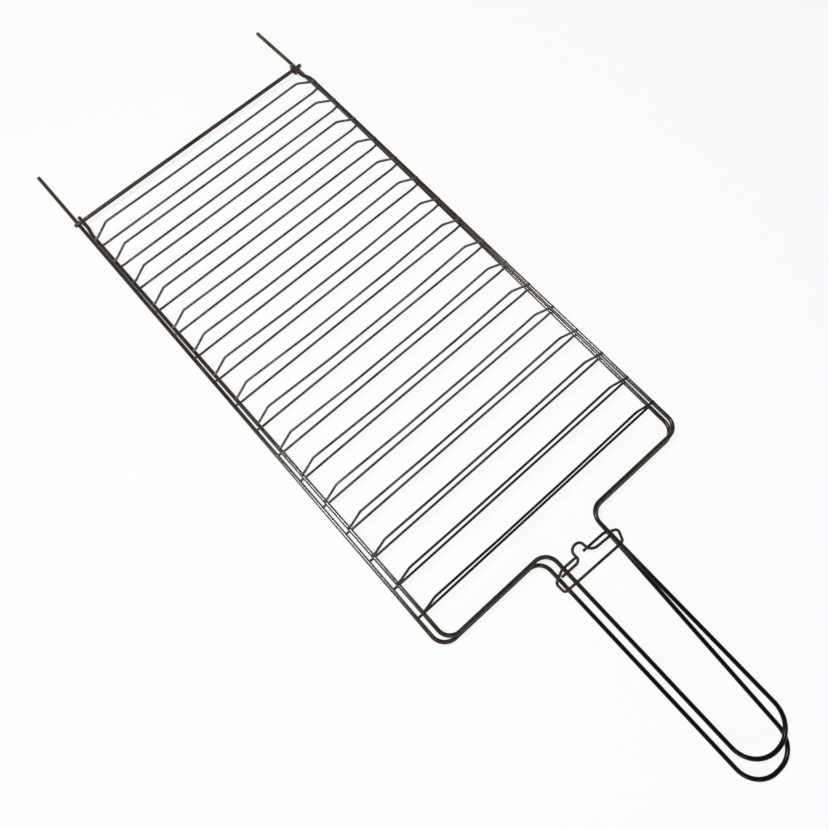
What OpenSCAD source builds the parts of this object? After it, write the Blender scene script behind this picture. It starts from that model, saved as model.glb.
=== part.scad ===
// Fish grill basket of welded steel wire: two hinged grilles with long
// handle loops, and a wire latch that slides along the lower handle.
// The hinge runs along Y at X = 0 and the handle points to +X.
// The lowest cross wires lie on Z = 0.

/* [Wire] */
// diameter of the wire of both frames
frame_wire = 3; // [2.6:0.1:3.6]
// diameter of the thin cross wires
cross_wire = 1.8; // [1.4:0.1:2.2]
// diameter of the hinge rod
rod_wire = 3; // [2.6:0.1:3.6]
// diameter of the latch wire
latch_wire = 2; // [1.6:0.1:2.2]
// how deep a welded wire sinks into the wire that it is welded to
weld_sink = 0.15; // [0.1:0.05:0.3]

/* [Grilles] */
// distance between the centres of the lower side rails
lower_width = 221.8; // [160:0.2:280]
// how much narrower the upper half is
upper_narrower = 3.9; // [3:0.1:6]
// how far the lower side rails drift to the left on their way to the shoulder
lower_drift = 1.4; // [0:0.1:2]
// how far the upper frame sits to the right at the hinge
upper_shift = 0.8; // [0:0.1:1.5]
// how far the upper side rails drift to the right on their way to the shoulder
upper_drift = 1.9; // [0:0.1:2.5]
// distance from the hinge to the first cross wire
first_wire = 24.2; // [20:0.1:32]
// distance from one cross wire to the next
wire_pitch = 25; // [18:0.5:32]
// distance from the last cross wire to the lower shoulder
end_gap = 25.8; // [20:0.1:34]
// how much nearer to the hinge the upper shoulder is
upper_short = 1; // [0:0.1:2]
// bend radius of the lower frame's corners
lower_corner = 11; // [8:0.5:16]
// bend radius of the upper frame's corners
upper_corner = 10; // [8:0.5:16]
// bend radius where the shoulders turn into the handles
neck_bend = 10.5; // [8:0.5:14]

/* [Trays] */
// rise of the upper cross wires above their welds
upper_rise = 7.2; // [4:0.1:12]
// width of the sloping part of an upper cross wire, from the rail inwards
upper_slope = 14.95; // [13:0.05:25]
// how far the raised parts lean towards the hinge
raised_lean = 1.9; // [0.5:0.1:3]
// how far the middle wires of the upper tray are bowed back towards the handle
raised_bow = 1.7; // [1:0.1:3]
// how far the ends of the upper cross wires stay inside the rails' outer edges
end_back = 1; // [0.5:0.1:1.5]
// drop of the lower cross wires below their welds
lower_drop = 0.9; // [0.8:0.1:2.5]
// width of the sloping part of a lower cross wire, from the rail inwards
lower_slope = 5.5; // [4:0.1:9]
// bend radius in the cross wires
wire_bend = 4; // [3:0.5:6]
// bend radius of the upper cross wires at the right end of their raised parts
wide_bend = 10; // [5:0.5:12]

/* [Hinge] */
// play between the hinge rod and the eyes, all round
hinge_play = 0.1; // [0.05:0.01:0.1]
// how far the rod's ends stand out from the rails' centres
rod_overhang = 3.3; // [2:0.1:6]
// room between a hinge eye and the lower rail beside it
eye_gap = 0.65; // [0.4:0.05:1.5]
// distance between the end of the upper rails' jog beside the eyes and the first cross wire
jog_before = 5.7; // [5.5:0.1:8]
// length of the left prong behind the hinge
left_prong = 59; // [30:0.5:80]
// length of the right prong behind the hinge
right_prong = 52.5; // [30:0.5:80]
// place between the first two cross wires at which the right prong begins to lean in
prong_start = 0.6; // [0.4:0.05:0.7]
// how far the right prong's end leans in
prong_lean = 3.3; // [1:0.1:4]

/* [Handles] */
// distance from the lower shoulder to the end of the lower loop
lower_handle = 191.9; // [140:0.1:230]
// distance between the ends of the lower and the upper loop
loop_short = 10.2; // [8:0.1:16]
// distance from the middle to the lower left leg
lower_left_leg = 23.5; // [22:0.1:30]
// distance from the middle to the lower right leg at the shoulder
lower_right_leg = 24.5; // [23:0.1:30]
// distance from the middle to the lower right leg at the loop's end
lower_right_end = 14.5; // [12:0.1:24]
// distance from the middle to the upper left leg
upper_left_leg = 17.5; // [15:0.1:24]
// distance from the middle to the upper right leg
upper_right_leg = 22.5; // [20:0.1:27]
// straight length left between the two bends at the end of the lower loop
lower_loop_flat = 2; // [2:0.5:6]
// straight length left between the two bends at the end of the upper loop
upper_loop_flat = 1; // [1:0.5:6]

/* [Latch] */
// distance from the lower shoulder to the latch's lower strand
latch_place = 28.2; // [23:0.1:60]
// room between the latch's lower strand and the lower legs
latch_play = 0.3; // [0.2:0.05:0.5]
// room between the latch's left side and the lower left leg
left_room = 0.3; // [0.3:0.05:1]
// room between the latch's right side and the lower right leg
right_room = 2; // [1.5:0.1:3]
// angle by which the latch hangs askew on the legs
latch_skew = 1.9; // [0:0.1:2.5]
// distance from the lower strand to the strand with the thumb loop
loop_strand_back = 9.1; // [8.8:0.1:9.2]
// distance from the lower strand to the ring's upper strand
ring_strand_back = 12.7; // [12.5:0.1:14]
// distance from the lower strand to the ring's upper corners
corner_back = 8.5; // [8:0.1:9]
// bend radius of the ring's corners
latch_bend = 3; // [2.5:0.1:3.2]
// radius of the thumb loop
thumb_radius = 4.4; // [4:0.1:5]
// distance from its strand to the far side of the thumb loop
thumb_reach = 11.9; // [11:0.1:13]
// how far the thumb loop is to the left of the middle
thumb_left = 2.7; // [1.5:0.1:3.5]
// bend radius where the strand turns into the thumb loop, on the right
right_neck_bend = 7.5; // [6:0.1:8]
// bend radius where the strand turns into the thumb loop, on the left
left_neck_bend = 3.4; // [2.5:0.1:3.6]

/* [Hidden] */
$fn = 48;
wire_count = 16;

// the name of a cross wire, counted from the hinge
function wire_name(half, i) = str(half, "_wire_", i < 10 ? "0" : "", i);

// a bend is a hair thicker than the straight runs, which end just inside it
bend_swell = 0.04;
lap = 0.2;

// heights of the wires' centres
weld_step = (frame_wire + cross_wire) / 2 - weld_sink;
z_low = (cross_wire + bend_swell) / 2 + lower_drop + weld_step;
z_rod = z_low + (frame_wire + rod_wire) / 2 - weld_sink;
eye_radius = (rod_wire + frame_wire) / 2 + hinge_play;
z_up = z_rod + eye_radius;
z_latch_top = (z_low + z_up) / 2;
z_latch_low = z_low - (frame_wire + latch_wire) / 2 - latch_play;

// places along the basket
last_wire = first_wire + (wire_count - 1) * wire_pitch;
x_lower_shoulder = last_wire + end_gap;
x_upper_shoulder = x_lower_shoulder - upper_short;
x_lower_end = x_lower_shoulder + lower_handle;
x_upper_end = x_lower_end - loop_short;
x_latch = x_lower_shoulder + latch_place;

upper_width = lower_width - upper_narrower;
raised_width = upper_width - 2 * upper_slope;
lower_loop_bend = (lower_left_leg + lower_right_end - lower_loop_flat) / 2;
upper_loop_bend = (upper_left_leg + upper_right_leg - upper_loop_flat) / 2;
jog_length = first_wire - jog_before;
prong_bend_at = first_wire + wire_pitch * prong_start;

// share of the lower rails' drift that falls on their hinge side
near_share = 0.4;

// centre lines of the rails, each by the two points that it runs through
lower_left_rail = [
    [-left_prong, -lower_width / 2 + lower_drift * near_share],
    [x_lower_shoulder, -lower_width / 2 - lower_drift * (1 - near_share)]
];
lower_right_rail = [
    [prong_bend_at, lower_width / 2 + lower_drift * near_share],
    [x_lower_shoulder, lower_width / 2 - lower_drift * (1 - near_share)]
];
right_prong_line = [
    [-right_prong, lower_right_rail[0].y - prong_lean],
    lower_right_rail[0]
];
upper_left_rail = [
    [jog_length, upper_shift - upper_width / 2],
    [x_upper_shoulder, upper_shift + upper_drift - upper_width / 2]
];
upper_right_rail = [
    [jog_length, upper_shift + upper_width / 2],
    [x_upper_shoulder, upper_shift + upper_drift + upper_width / 2]
];

// where a rail's centre line is, at a distance from the hinge
function across(rail, x) =
    rail[0].y + (rail[1].y - rail[0].y) * (x - rail[0].x) / (rail[1].x - rail[0].x);

left_eye_y = across(lower_left_rail, 0) + frame_wire + eye_gap;
right_eye_y = across(right_prong_line, 0) - frame_wire - eye_gap;

// the latch: its strands, and the ring's sides at the lower strand
x_loop = x_latch - loop_strand_back;
x_ring = x_latch - ring_strand_back;
leg_to_side = (frame_wire + latch_wire) / 2;
ring_left = -lower_left_leg - leg_to_side - left_room;
ring_right = lower_right_leg + leg_to_side + right_room
    - (lower_right_leg - lower_right_end) * latch_place / lower_handle;

// from each upper corner of the ring a slant leads in between the legs to its upper strand
corner_out = 1.6;
slant_in = 5;
left_corner = [x_latch - corner_back, ring_left - corner_out];
right_corner = [x_latch - corner_back, ring_right + corner_out];
left_slant_end = [x_ring, -lower_left_leg + slant_in];
right_slant_end = [x_ring, lower_right_leg - slant_in];

// the ring's ends: the left one under the thumb loop's left side, the right one well past the right side
ring_left_end = -thumb_left - thumb_radius + 2.5;
ring_right_end = -thumb_left + 3.4;

// how steeply the thumb loop stands up to lie on the ring's ends
thumb_tilt = asin((latch_wire - weld_sink) / (ring_strand_back - loop_strand_back));

steel = [0.36, 0.33, 0.31];
thin_steel = [0.48, 0.46, 0.44];
latch_steel = [0.42, 0.34, 0.28];

function unit(v) = v / norm(v);

// the length that a bend takes from each of the two straight runs at its corner
function bend_cut(before, corner, after, radius) =
    radius * tan(acos(unit(corner - before) * unit(after - corner)) / 2);

// a straight run of round wire, let into the bends at its ends by the given laps
module run(from, to, d, lap_from = 0, lap_to = 0) {
    v = to - from;
    translate(from - unit(v) * lap_from)
        rotate([0, acos(v.z / norm(v)), atan2(v.y, v.x)])
            cylinder(h = norm(v) + lap_from + lap_to, d = d);
}

// the side of a straight run on which the seam of its surface lies
function seam(v) =
    let (tilt = acos(v.z / norm(v)), heading = atan2(v.y, v.x))
    [cos(tilt) * cos(heading), cos(tilt) * sin(heading), -sin(tilt)];

// the bend of a round wire at one corner of its path, with its seam in line with the run's
module bend(before, corner, after, radius, d) {
    ahead = unit(corner - before);
    turn = acos(ahead * unit(after - corner));
    inward = unit(unit(after - corner) - ahead * cos(turn));
    centre = corner - ahead * radius * tan(turn / 2) + inward * radius;
    normal = cross(ahead, inward);
    roll = atan2(seam(ahead) * normal, -seam(ahead) * inward);
    multmatrix([
        [-inward.x, ahead.x, normal.x, centre.x],
        [-inward.y, ahead.y, normal.y, centre.y],
        [-inward.z, ahead.z, normal.z, centre.z]
    ])
        rotate_extrude(angle = turn)
            translate([radius, 0])
                rotate(roll)
                    circle(d = d + bend_swell);
}

// a round wire through the given corners, with a bend radius for each inner one;
// its two ends go on by the end lap
module bent_wire(corners, radii, d, end_lap = 0) {
    last = len(corners) - 1;
    cuts = [for (i = [0:last])
        i == 0 || i == last ? 0
            : bend_cut(corners[i - 1], corners[i], corners[i + 1], radii[i - 1])];
    for (i = [0:last - 1]) {
        ahead = unit(corners[i + 1] - corners[i]);
        run(corners[i] + ahead * cuts[i], corners[i + 1] - ahead * cuts[i + 1], d,
            i > 0 ? lap : end_lap, i + 1 < last ? lap : end_lap);
    }
    for (i = [1:last - 1])
        bend(corners[i - 1], corners[i], corners[i + 1], radii[i - 1], d);
}

// the arc of a wire in its own plane, with its seam rolled round from the outer side
module wire_arc(centre, start, sweep, radius, d, roll = 0) {
    translate(centre)
        rotate([0, 0, start])
            rotate_extrude(angle = sweep)
                translate([radius, 0])
                    rotate(roll)
                        circle(d = d);
}

// the lower frame: both prongs, rails, shoulders and the handle loop in one wire
module lower_frame() {
    prong_bend = 60;
    color(steel)
        bent_wire(
            [
                concat(lower_left_rail[0], z_low),
                concat(lower_left_rail[1], z_low),
                [x_lower_shoulder, -lower_left_leg, z_low],
                [x_lower_end, -lower_left_leg, z_low],
                [x_lower_end, lower_right_end, z_low],
                [x_lower_shoulder, lower_right_leg, z_low],
                concat(lower_right_rail[1], z_low),
                concat(lower_right_rail[0], z_low),
                concat(right_prong_line[0], z_low)
            ],
            [
                lower_corner, neck_bend, lower_loop_bend, lower_loop_bend, neck_bend,
                lower_corner, prong_bend
            ],
            frame_wire
        );
}

// the eye that an upper rail's end is curled into, round the hinge rod
module hinge_eye(y) {
    translate([0, y, z_rod])
        rotate([90, 0, 0])
            wire_arc([0, 0, 0], 90, 270, eye_radius, frame_wire + bend_swell, 180);
}

// the upper frame: two hinge eyes, rails, shoulders and the handle loop in one wire
module upper_frame() {
    jog_run = 7.5;
    jog_start = jog_length - jog_run;
    jog_bend = 12;
    color(steel) {
        bent_wire(
            [
                [0, left_eye_y, z_up],
                [jog_start, left_eye_y, z_up],
                concat(upper_left_rail[0], z_up),
                concat(upper_left_rail[1], z_up),
                [x_upper_shoulder, -upper_left_leg, z_up],
                [x_upper_end, -upper_left_leg, z_up],
                [x_upper_end, upper_right_leg, z_up],
                [x_upper_shoulder, upper_right_leg, z_up],
                concat(upper_right_rail[1], z_up),
                concat(upper_right_rail[0], z_up),
                [jog_start, right_eye_y, z_up],
                [0, right_eye_y, z_up]
            ],
            [
                jog_bend, jog_bend, upper_corner, neck_bend, upper_loop_bend,
                upper_loop_bend, neck_bend, upper_corner, jog_bend, jog_bend
            ],
            frame_wire,
            lap
        );
        hinge_eye(left_eye_y);
        hinge_eye(right_eye_y);
    }
}

// a straight piece of one rail, used to cut a weld seat
module rail_stub(rail, x, z) {
    half = 3;
    run([x - half, across(rail, x - half), z], [x + half, across(rail, x + half), z], frame_wire);
}

// the hinge rod, welded on top of the lower rails
module hinge_rod() {
    left = across(lower_left_rail, 0) - rod_overhang;
    right = across(right_prong_line, 0) + rod_overhang;
    color(steel)
        difference() {
            translate([0, right, z_rod])
                rotate([90, 0, 0])
                    cylinder(h = right - left, d = rod_wire);
            rail_stub(lower_left_rail, 0, z_low);
            rail_stub(right_prong_line, 0, z_low);
        }
}

// a lower cross wire, welded under the rails and dished
module lower_wire(i) {
    x = first_wire + (i - 1) * wire_pitch;
    z_weld = z_low - weld_step;
    right_rail = x < prong_bend_at ? right_prong_line : lower_right_rail;
    left = across(lower_left_rail, x);
    right = across(right_rail, x);
    half = frame_wire / 2;
    color(thin_steel)
        difference() {
            bent_wire(
                [
                    [x, left - half, z_weld],
                    [x, left + half, z_weld],
                    [x, left + lower_slope, z_weld - lower_drop],
                    [x, right - lower_slope, z_weld - lower_drop],
                    [x, right - half, z_weld],
                    [x, right + half, z_weld]
                ],
                [wire_bend, wire_bend, wire_bend, wire_bend],
                cross_wire
            );
            rail_stub(lower_left_rail, x, z_low);
            rail_stub(right_rail, x, z_low);
        }
}

// an upper cross wire, welded on top of the rails and raised in a flat-topped arch,
// which leans towards the hinge and in the middle of the tray is bowed back again
module upper_wire(i) {
    x = first_wire + (i - 1) * wire_pitch;
    z_weld = z_up + weld_step;
    z_top = z_weld + upper_rise;
    left = across(upper_left_rail, x);
    right = across(upper_right_rail, x);
    x_top = x - raised_lean;
    // the bow is deepest at the middle wire and about a third as deep towards both ends
    from_middle = i - (wire_count + 1) / 2;
    degrees_a_wire = 15;
    least_bow = 0.3;
    x_bowed = x_top + raised_bow * (least_bow + (1 - least_bow) * cos(degrees_a_wire * from_middle) ^ 2);
    // straight length on the rail, outwards and inwards of its middle
    to_end = frame_wire / 2 - end_back;
    to_slope = frame_wire / 2 + 0.5;
    // the bow is straight over the middle two fifths of the raised part
    side = raised_width / 2;
    bowed_side = raised_width / 5;
    bow_bend = 150;
    color(thin_steel)
        difference() {
            bent_wire(
                [
                    [x, left - to_end, z_weld],
                    [x, left + to_slope, z_weld],
                    [x_top, -side, z_top],
                    [x_bowed, -bowed_side, z_top],
                    [x_bowed, bowed_side, z_top],
                    [x_top, side, z_top],
                    [x, right - to_slope, z_weld],
                    [x, right + to_end, z_weld]
                ],
                [wire_bend, wire_bend, bow_bend, bow_bend, wide_bend, wire_bend],
                cross_wire
            );
            rail_stub(upper_left_rail, x, z_up);
            rail_stub(upper_right_rail, x, z_up);
        }
}

// turns the latch askew about its lower strand's middle
module askew() {
    translate([x_latch, 0, 0])
        rotate([0, 0, -latch_skew])
            translate([-x_latch, 0, 0])
                children();
}

// the latch's ring: a wire round the lower legs, with both ends under the thumb loop
module latch_clip() {
    slant_bend = 4;
    color(latch_steel)
        askew()
            bent_wire(
                [
                    [x_ring, ring_left_end, z_latch_top],
                    concat(left_slant_end, z_latch_top),
                    concat(left_corner, z_latch_top),
                    [x_latch, ring_left, z_latch_low],
                    [x_latch, ring_right, z_latch_low],
                    concat(right_corner, z_latch_top),
                    concat(right_slant_end, z_latch_top),
                    [x_ring, ring_right_end, z_latch_top]
                ],
                [slant_bend, latch_bend, latch_bend, latch_bend, latch_bend, slant_bend],
                latch_wire
            );
}

// where a strand at x comes within the given distance of a slant, on the slant's handle side
function meets(slant_end, corner, x, distance) =
    let (along = unit(corner - slant_end))
    slant_end.y + ((x - slant_end.x) * abs(along.y) - distance) / (along.x * sign(along.y));

// the strand with the thumb loop, welded on the ring's two ends and between its slants
module thumb_loop() {
    // how far the strand's right end is nearer to the handle
    right_slant = 0.6;
    // the loop's half width at its far corners, and how far its right foot stands out and its left one in
    half = thumb_radius + 0.1;
    right_foot = 3.5;
    left_foot = 2.1;
    apart = latch_wire - weld_sink;
    far_x = x_loop - thumb_reach * cos(thumb_tilt);
    far_z = z_latch_top + thumb_reach * sin(thumb_tilt);
    x_right = x_loop + right_slant;
    color(latch_steel)
        askew()
            difference() {
                bent_wire(
                    [
                        [x_right, meets(right_slant_end, right_corner, x_right, apart), z_latch_top],
                        [x_loop, -thumb_left + half + right_foot, z_latch_top],
                        [far_x, -thumb_left + half, far_z],
                        [far_x, -thumb_left - half, far_z],
                        [x_loop, -thumb_left - half + left_foot, z_latch_top],
                        [x_loop, meets(left_slant_end, left_corner, x_loop, apart), z_latch_top]
                    ],
                    [right_neck_bend, thumb_radius, thumb_radius, left_neck_bend],
                    latch_wire
                );
                run([x_ring, ring_left_end - half, z_latch_top], [x_ring, ring_right_end + half, z_latch_top],
                    latch_wire);
                run(concat(left_slant_end, z_latch_top), concat(left_corner, z_latch_top), latch_wire);
                run(concat(right_slant_end, z_latch_top), concat(right_corner, z_latch_top), latch_wire);
            }
}

lower_frame();
upper_frame();
hinge_rod();
latch_clip();
thumb_loop();
for (i = [1:wire_count]) lower_wire(i);
for (i = [1:wire_count]) upper_wire(i);
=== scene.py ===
import math

import bpy
import numpy as np
from mathutils import Matrix, Vector


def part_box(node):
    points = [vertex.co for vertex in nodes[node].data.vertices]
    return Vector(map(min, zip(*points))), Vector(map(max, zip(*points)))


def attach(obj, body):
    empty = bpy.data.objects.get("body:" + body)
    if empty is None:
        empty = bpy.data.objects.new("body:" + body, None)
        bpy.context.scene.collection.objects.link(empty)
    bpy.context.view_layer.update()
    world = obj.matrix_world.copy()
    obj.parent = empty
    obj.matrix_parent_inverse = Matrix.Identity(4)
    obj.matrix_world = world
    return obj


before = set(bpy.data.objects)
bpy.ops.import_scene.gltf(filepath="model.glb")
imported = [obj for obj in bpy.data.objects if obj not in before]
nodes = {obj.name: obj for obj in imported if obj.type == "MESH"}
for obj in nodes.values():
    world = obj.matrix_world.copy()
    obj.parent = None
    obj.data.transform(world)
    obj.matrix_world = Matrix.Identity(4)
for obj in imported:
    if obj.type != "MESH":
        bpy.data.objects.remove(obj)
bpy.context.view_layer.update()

# Places taken from the frame, in metres.
latch_low, latch_high = (np.array(c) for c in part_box("latch_clip"))
lower_low, lower_high = (np.array(c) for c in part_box("lower_frame"))
rod_low, rod_high = (np.array(c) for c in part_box("hinge_rod"))
frame_radius = 0.0015
cross_radius = 0.0009
rail_y = lower_high[1] - frame_radius
latch_x = (latch_low[0] + latch_high[0]) / 2
wires = range(1, 17)


class Shader:
    """A material's node tree, built one named node at a time."""

    def __init__(self, name):
        self.material = bpy.data.materials.new(name)
        self.material.use_nodes = True
        self.tree = self.material.node_tree
        self.tree.nodes.clear()
        self.output = self.add("ShaderNodeOutputMaterial")
        self.surface = self.add("ShaderNodeBsdfPrincipled")
        self.link(self.surface.outputs["BSDF"], self.output.inputs["Surface"])
        self.place = self.add("ShaderNodeTexCoord").outputs["Object"]

    def add(self, kind, **settings):
        """A new node with its settings."""
        new = self.tree.nodes.new(kind)
        for key, value in settings.items():
            setattr(new, key, value)
        return new

    def link(self, start, end):
        self.tree.links.new(start, end)

    def plug(self, socket, value):
        """Links a socket to an output, or sets it to a plain value."""
        if isinstance(value, bpy.types.NodeSocket):
            self.link(value, socket)
        else:
            socket.default_value = value

    def stretched(self, scale):
        """The object's own coordinates, scaled by a different amount along each axis."""
        mapping = self.add("ShaderNodeMapping")
        self.link(self.place, mapping.inputs["Vector"])
        mapping.inputs["Scale"].default_value = scale
        return mapping.outputs["Vector"]

    def noise(self, scale, detail=4.0, rough=0.55, where=None):
        """Cloudy noise, as a value from 0 to 1."""
        new = self.add("ShaderNodeTexNoise")
        self.link(where or self.place, new.inputs["Vector"])
        new.inputs["Scale"].default_value = scale
        new.inputs["Detail"].default_value = detail
        new.inputs["Roughness"].default_value = rough
        return new.outputs["Fac"]

    def ramp(self, value, low, high, out_low=0.0, out_high=1.0):
        """A smooth step from out_low at low to out_high at high."""
        new = self.add("ShaderNodeMapRange", interpolation_type="SMOOTHSTEP")
        self.plug(new.inputs["Value"], value)
        new.inputs["From Min"].default_value = low
        new.inputs["From Max"].default_value = high
        new.inputs["To Min"].default_value = out_low
        new.inputs["To Max"].default_value = out_high
        return new.outputs["Result"]

    def math(self, operation, a, b=0.0):
        new = self.add("ShaderNodeMath", operation=operation)
        self.plug(new.inputs[0], a)
        self.plug(new.inputs[1], b)
        return new.outputs["Value"]

    def blend(self, amount, a, b):
        """Colour a where amount is 0 and colour b where it is 1."""
        new = self.add("ShaderNodeMix", data_type="RGBA")
        self.plug(new.inputs["Factor"], amount)
        self.plug(new.inputs[6], a)
        self.plug(new.inputs[7], b)
        return new.outputs[2]

    def coordinate(self, axis):
        """One coordinate of the surface point."""
        split = self.add("ShaderNodeSeparateXYZ")
        self.link(self.place, split.inputs["Vector"])
        return split.outputs[axis]

    def near(self, axis, centre, reach):
        """1 at a coordinate's centre value, falling to 0 at the given reach."""
        offset = self.math("ABSOLUTE", self.math("SUBTRACT", self.coordinate(axis), centre))
        return self.ramp(offset, 0.0, reach, 1.0, 0.0)


SKIN = (0.010, 0.0076, 0.0054, 1)
GREY = (0.029, 0.0236, 0.0183, 1)
DULL = (0.120, 0.104, 0.087, 1)
BARE = (0.46, 0.43, 0.39, 1)
RUST = (0.085, 0.033, 0.013, 1)
NEAR_BLACK = (0.0036, 0.0030, 0.0023, 1)


def wire_steel(name, grain, pale, rubbed, polished, rusted, black_from, black_to):
    """Drawn steel wire: a dark oxide skin that has gone grey in patches and is rubbed
    to bare steel in thin lines, rust where the wires are joined, and a near-black tone
    that sets in between the two given places on the way to the handle. pale is the share
    of dull, paler steel, and polished how far the rails are bright ahead of the shoulder."""
    m = Shader(name)
    along = m.coordinate("X")
    black = m.ramp(along, black_from, black_to)
    clear = m.math("SUBTRACT", 1.0, m.math("MULTIPLY", black, 0.9))
    patches = m.ramp(m.noise(45.0, 5.0, 0.6), 0.36, 0.64)
    streaks = m.ramp(m.noise(130.0, 4.0, 0.6), 0.35, 0.65)
    fine = m.noise(900.0, 3.0, 0.6)
    lines = m.noise(1.0, 3.0, 0.5, m.stretched(grain))
    tone = m.blend(patches, SKIN, GREY)
    # the right prong is paler than the left one, and the rails are rubbed most ahead of the shoulder
    prong = m.math("MULTIPLY", m.ramp(along, -0.020, -0.006, 1.0, 0.0), m.ramp(m.coordinate("Y"), -0.05, 0.05, 0.10, 0.75))
    handled = m.math("SUBTRACT", m.ramp(along, 0.190, 0.260), m.ramp(along, 0.385, 0.410))
    share = m.math("MAXIMUM", prong, pale)
    paler = m.math("MULTIPLY", share, m.math("ADD", m.math("MULTIPLY", streaks, 0.8), 0.2))
    tone = m.blend(m.math("MULTIPLY", paler, clear), tone, DULL)
    worn = m.math("MULTIPLY", m.ramp(lines, 0.45, 0.70), rubbed)
    worn = m.math("MULTIPLY", worn, clear)
    tone = m.blend(worn, tone, BARE)
    # a near-black tone blended in along X, from black_from to black_to
    tone = m.blend(m.math("MULTIPLY", black, 0.95), tone, NEAR_BLACK)
    speck = m.ramp(m.noise(260.0, 4.0, 0.65), 0.56, 0.68)
    rails = m.math("MAXIMUM", m.near("Y", rail_y, 0.006), m.near("Y", -rail_y, 0.006))
    eyes = m.math("MULTIPLY", m.near("X", 0.0, 0.014), m.ramp(m.math("ABSOLUTE", m.coordinate("Y")), 0.080, 0.100, 0.25, 1.0))
    left_leg = m.math("MULTIPLY", m.near("X", latch_x, 0.018), m.ramp(m.coordinate("Y"), -0.020, -0.010, 1.0, 0.0))
    joints = m.math("MAXIMUM", m.math("MULTIPLY", rails, 0.5), m.math("MAXIMUM", eyes, left_leg))
    stain = m.math("MULTIPLY", joints, m.ramp(m.noise(150.0, 4.0, 0.6), 0.38, 0.62))
    rust = m.math("MINIMUM", m.math("ADD", m.math("MULTIPLY", speck, 0.3), stain), 1.0)
    rust = m.math("MULTIPLY", rust, rusted)
    tone = m.blend(rust, tone, RUST)
    m.link(tone, m.surface.inputs["Base Color"])
    m.link(m.math("MULTIPLY", worn, 0.9), m.surface.inputs["Metallic"])
    m.link(m.ramp(black, 0.0, 1.0, 0.26, 0.12), m.surface.inputs["Specular IOR Level"])
    gloss = m.math("ADD", m.ramp(fine, 0.3, 0.7, 0.14, 0.20), m.math("MULTIPLY", rust, 0.4))
    m.link(gloss, m.surface.inputs["Roughness"])
    m.link(m.math("MULTIPLY", handled, polished), m.surface.inputs["Coat Weight"])
    m.surface.inputs["Coat Roughness"].default_value = 0.08
    m.surface.inputs["Coat IOR"].default_value = 1.7
    bump = m.add("ShaderNodeBump")
    bump.inputs["Strength"].default_value = 0.15
    bump.inputs["Distance"].default_value = 0.00006
    height = m.math("ADD", m.math("MULTIPLY", lines, 0.6), m.math("MULTIPLY", fine, 0.4))
    m.link(height, bump.inputs["Height"])
    m.link(bump.outputs["Normal"], m.surface.inputs["Normal"])
    return m.material


def weld_scale():
    """Burnt scale round a weld: blue-black and rust brown, rough and pitted."""
    m = Shader("weld scale")
    mottle = m.ramp(m.noise(700.0, 4.0, 0.6), 0.38, 0.62)
    tone = m.blend(mottle, (0.020, 0.018, 0.020, 1), (0.075, 0.034, 0.018, 1))
    m.link(tone, m.surface.inputs["Base Color"])
    m.surface.inputs["Specular IOR Level"].default_value = 0.25
    m.link(m.ramp(mottle, 0.0, 1.0, 0.45, 0.75), m.surface.inputs["Roughness"])
    bump = m.add("ShaderNodeBump")
    bump.inputs["Strength"].default_value = 0.5
    bump.inputs["Distance"].default_value = 0.0001
    m.link(m.noise(1500.0, 3.0, 0.6), bump.inputs["Height"])
    m.link(bump.outputs["Normal"], m.surface.inputs["Normal"])
    return m.material


# Draw lines run along the wire: cross wires and the rod along Y, frames mostly along X.
ALONG_X = (25.0, 1400.0, 1400.0)
ALONG_Y = (1400.0, 25.0, 1400.0)
finishes = {
    "frame": wire_steel("frame wire steel", ALONG_X, 0.02, 0.05, 0.95, 0.5, 0.405, 0.510),
    "rod": wire_steel("hinge rod steel", ALONG_Y, 0.10, 0.10, 0.0, 0.9, 0.415, 0.520),
    "cross": wire_steel("cross wire steel", ALONG_Y, 0.74, 0.25, 0.0, 0.5, 0.290, 0.430),
    "latch": wire_steel("latch wire steel", ALONG_Y, 0.0, 0.06, 0.0, 0.8, 0.600, 0.700),
}


def finish_of(node):
    """The finish that a node of the frame takes."""
    if node in ("latch_clip", "thumb_loop"):
        return finishes["latch"]
    if node == "hinge_rod":
        return finishes["rod"]
    return finishes["cross" if "_wire_" in node else "frame"]


for name, node in nodes.items():
    node.data.materials.clear()
    node.data.materials.append(finish_of(name))
    for face in node.data.polygons:
        face.material_index = 0


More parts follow.
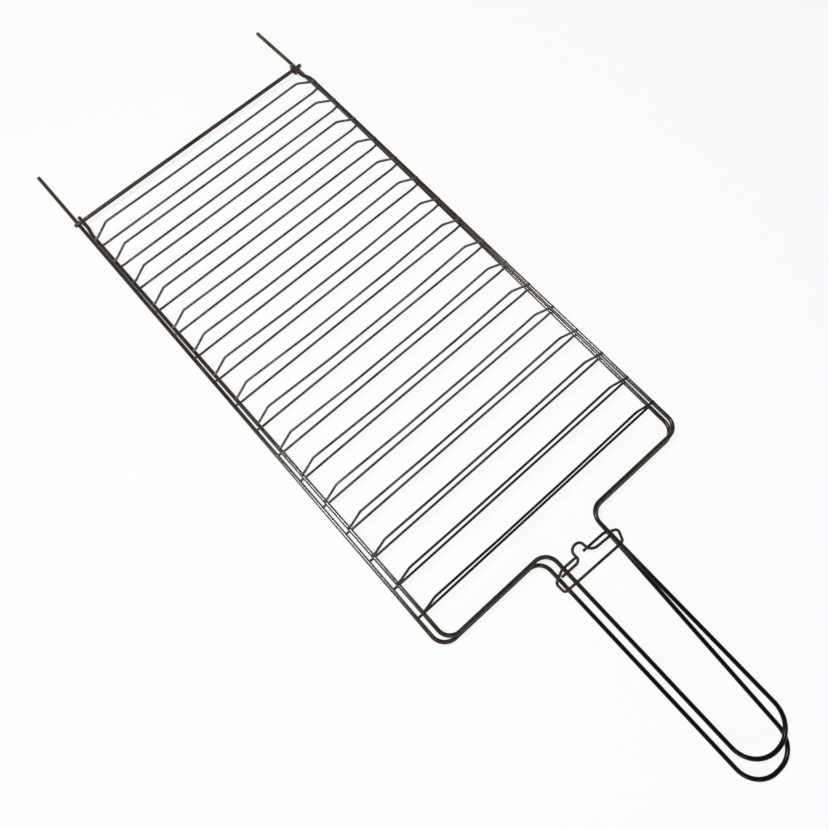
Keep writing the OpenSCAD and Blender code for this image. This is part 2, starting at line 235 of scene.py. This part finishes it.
def welds(name, body, places, size):
    """Flattened beads squeezed out between two welded wires, all in one mesh: at every
    place an ellipsoid whose outline swells and shrinks a little as it goes round.
    A point is place + size * (cos(u) cos(v), sin(u) cos(v), sin(v)) * wobble(u)."""
    rings, sides = 6, 12
    u = np.arange(sides) * 2 * math.pi / sides
    v = np.linspace(-math.pi / 2, math.pi / 2, rings + 1)[1:-1]
    places = np.asarray(places, float)
    count = len(places)
    phase = np.arange(count)[:, None, None] * 2.4
    wobble = 1 + 0.10 * np.cos(3 * u[None, None, :] + phase) + 0.06 * np.cos(5 * u[None, None, :] - 2 * phase)
    flat = np.cos(v)[None, :, None] * wobble
    grid = np.stack([
        flat * np.cos(u)[None, None, :],
        flat * np.sin(u)[None, None, :],
        np.broadcast_to(np.sin(v)[None, :, None], flat.shape),
    ], axis=-1) * np.asarray(size, float)
    grid = grid.reshape(count, -1, 3)
    poles = np.array([[0, 0, -size[2]], [0, 0, size[2]]], float)
    points = np.concatenate([grid, np.broadcast_to(poles, (count, 2, 3))], axis=1) + places[:, None, :]
    ring = np.arange(sides)
    after = (ring + 1) % sides
    rows = np.arange(rings - 2)[:, None] * sides
    quads = np.stack([rows + ring, rows + after, rows + sides + after, rows + sides + ring], axis=-1).reshape(-1, 4)
    low, high = (rings - 1) * sides, (rings - 1) * sides + 1
    top = (rings - 2) * sides
    caps = np.concatenate([
        np.stack([np.full(sides, low), after, ring], axis=-1),
        np.stack([np.full(sides, high), top + ring, top + after], axis=-1),
    ])
    step = np.arange(count)[:, None, None] * ((rings - 1) * sides + 2)
    faces = (quads[None] + step).reshape(-1, 4).tolist() + (caps[None] + step).reshape(-1, 3).tolist()
    mesh = bpy.data.meshes.new(name)
    mesh.from_pydata(points.reshape(-1, 3).tolist(), [], faces)
    mesh.polygons.foreach_set("use_smooth", [True] * len(mesh.polygons))
    mesh.materials.append(scale)
    bead = bpy.data.objects.new(name, mesh)
    bpy.context.scene.collection.objects.link(bead)
    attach(bead, body)


def crossings(half, end_inside, side):
    """Where the cross wires of one half touch its rails: each wire's ends stand
    end_inside beyond the rails' centre lines, and side is +1 for the wires' high X face."""
    found = []
    for i in wires:
        low, high = (np.array(c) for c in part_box(f"{half}_wire_{i:02d}"))
        x = high[0] - cross_radius if side > 0 else (low[0] + high[0]) / 2
        found += [(x, low[1] + end_inside), (x, high[1] - end_inside)]
    return found


scale = weld_scale()
lower_weld_z = lower_low[2] + 0.00005
upper_weld_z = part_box("upper_frame")[1][2] - 0.00005
welds("lower_welds", "lower_half",
      [(x, y, lower_weld_z) for x, y in crossings("lower", frame_radius, 0)], (0.0012, 0.0013, 0.0004))
welds("upper_welds", "upper_half",
      [(x, y, upper_weld_z) for x, y in crossings("upper", 0.0005, 1)], (0.0012, 0.0013, 0.0004))
rod_weld_z = rod_low[2] + 0.00005
welds("rod_welds", "lower_half",
      [(0.0, rod_low[1] + 0.0033, rod_weld_z), (0.0, rod_high[1] - 0.0033, rod_weld_z)], (0.0021, 0.0021, 0.0006))


def pale_sweep():
    """A plain pale table top that curves up into a wall all round, as a surface of
    revolution: (r(s) cos(t), r(s) sin(t), z(s)), where the profile is flat out to the
    bend, then a quarter circle, then upright. The camera and the gloss see it partly
    as white."""
    m = Shader("pale floor")
    tone = m.blend(m.ramp(m.noise(3.0, 3.0, 0.5), 0.3, 0.7), (0.93, 0.93, 0.93, 1), (0.95, 0.95, 0.95, 1))
    m.link(tone, m.surface.inputs["Base Color"])
    m.surface.inputs["Roughness"].default_value = 0.9
    m.surface.inputs["Specular IOR Level"].default_value = 0.1
    white = m.add("ShaderNodeEmission")
    white.inputs["Color"].default_value = (1, 1, 1, 1)
    rays = m.add("ShaderNodeLightPath").outputs
    mirrored = m.math("MAXIMUM", rays["Is Glossy Ray"], rays["Is Transmission Ray"])
    seen = m.math("MAXIMUM", rays["Is Camera Ray"], mirrored)
    # far from the basket, where the lamps fade, the sweep is seen as plain white
    away = m.math("MAXIMUM", m.math("ABSOLUTE", m.coordinate("X")), m.math("ABSOLUTE", m.coordinate("Y")))
    mix = m.add("ShaderNodeMixShader")
    m.plug(mix.inputs["Fac"], m.math("MULTIPLY", seen, m.ramp(away, 0.5, 1.6, 0.86, 1.0)))
    m.link(m.surface.outputs["BSDF"], mix.inputs[1])
    m.link(white.outputs["Emission"], mix.inputs[2])
    m.link(mix.outputs["Shader"], m.output.inputs["Surface"])
    flat, bend, wall = 2.4, 0.6, 2.0
    sides, steps = 64, 12
    turn = np.linspace(0, math.pi / 2, steps + 1)
    r = np.concatenate([flat + bend * np.sin(turn), [flat + bend]])
    z = np.concatenate([bend * (1 - np.cos(turn)), [bend + wall]])
    t = np.arange(sides) * 2 * math.pi / sides
    points = np.stack([
        r[:, None] * np.cos(t)[None, :], r[:, None] * np.sin(t)[None, :], np.repeat(z[:, None], sides, axis=1)
    ], axis=-1).reshape(-1, 3)
    ring = np.arange(sides)
    after = (ring + 1) % sides
    rows = np.arange(len(r) - 1)[:, None] * sides
    quads = np.stack([rows + ring, rows + after, rows + sides + after, rows + sides + ring], axis=-1).reshape(-1, 4)
    mesh = bpy.data.meshes.new("floor")
    mesh.from_pydata(points.tolist(), [], [list(range(sides))] + quads.tolist())
    mesh.materials.append(m.material)
    floor = bpy.data.objects.new("floor", mesh)
    bpy.context.scene.collection.objects.link(floor)


def soft_lamp(name, at, aim, size, power):
    """A soft lamp with a rectangular face, which faces its aim."""
    data = bpy.data.lights.new(name, "AREA")
    data.shape = "RECTANGLE"
    data.size, data.size_y = size
    data.energy = power
    lamp = bpy.data.objects.new(name, data)
    lamp.location = at
    lamp.rotation_euler = (Vector(aim) - Vector(at)).to_track_quat("-Z", "Y").to_euler()
    bpy.context.scene.collection.objects.link(lamp)


def studio():
    """Soft lamps overhead and a plain pale surrounding."""
    middle = (0.28, 0.0, 0.0)
    soft_lamp("key lamp", (0.10, -0.24, 1.05), middle, (0.20, 0.42), 9.0)
    soft_lamp("side lamp", (1.25, -0.65, 0.9), middle, (0.35, 0.35), 4.0)
    world = bpy.data.worlds.new("pale room")
    world.use_nodes = True
    world.node_tree.nodes["Background"].inputs["Color"].default_value = (0.95, 0.96, 0.98, 1)
    world.node_tree.nodes["Background"].inputs["Strength"].default_value = 0.10
    bpy.context.scene.world = world


def photograph_camera():
    """The camera, from where it stands, what it aims at and how it is rolled."""
    stands_at = Vector((0.43006, -0.12585, 0.54939))
    aims_at = Vector((0.29113, -0.01853, 0.0041))
    roll = math.radians(4.1047)
    focal_pixels = 798.5
    picture_pixels = 828
    sensor = 36.0
    forward = (aims_at - stands_at).normalized()
    side = forward.cross(Vector((0, 0, 1))).normalized()
    above = side.cross(forward)
    up = above * math.cos(roll) + side * math.sin(roll)
    right = forward.cross(up)
    data = bpy.data.cameras.new("photograph camera")
    data.sensor_width = sensor
    data.lens = sensor * focal_pixels / picture_pixels
    data.clip_start = 0.01
    camera = bpy.data.objects.new("photograph camera", data)
    turn = Matrix((right, up, -forward)).transposed().to_4x4()
    camera.matrix_world = Matrix.Translation(stands_at) @ turn
    bpy.context.scene.collection.objects.link(camera)
    bpy.context.scene.camera = camera


pale_sweep()
studio()
photograph_camera()
bpy.context.scene.view_settings.view_transform = "Standard"
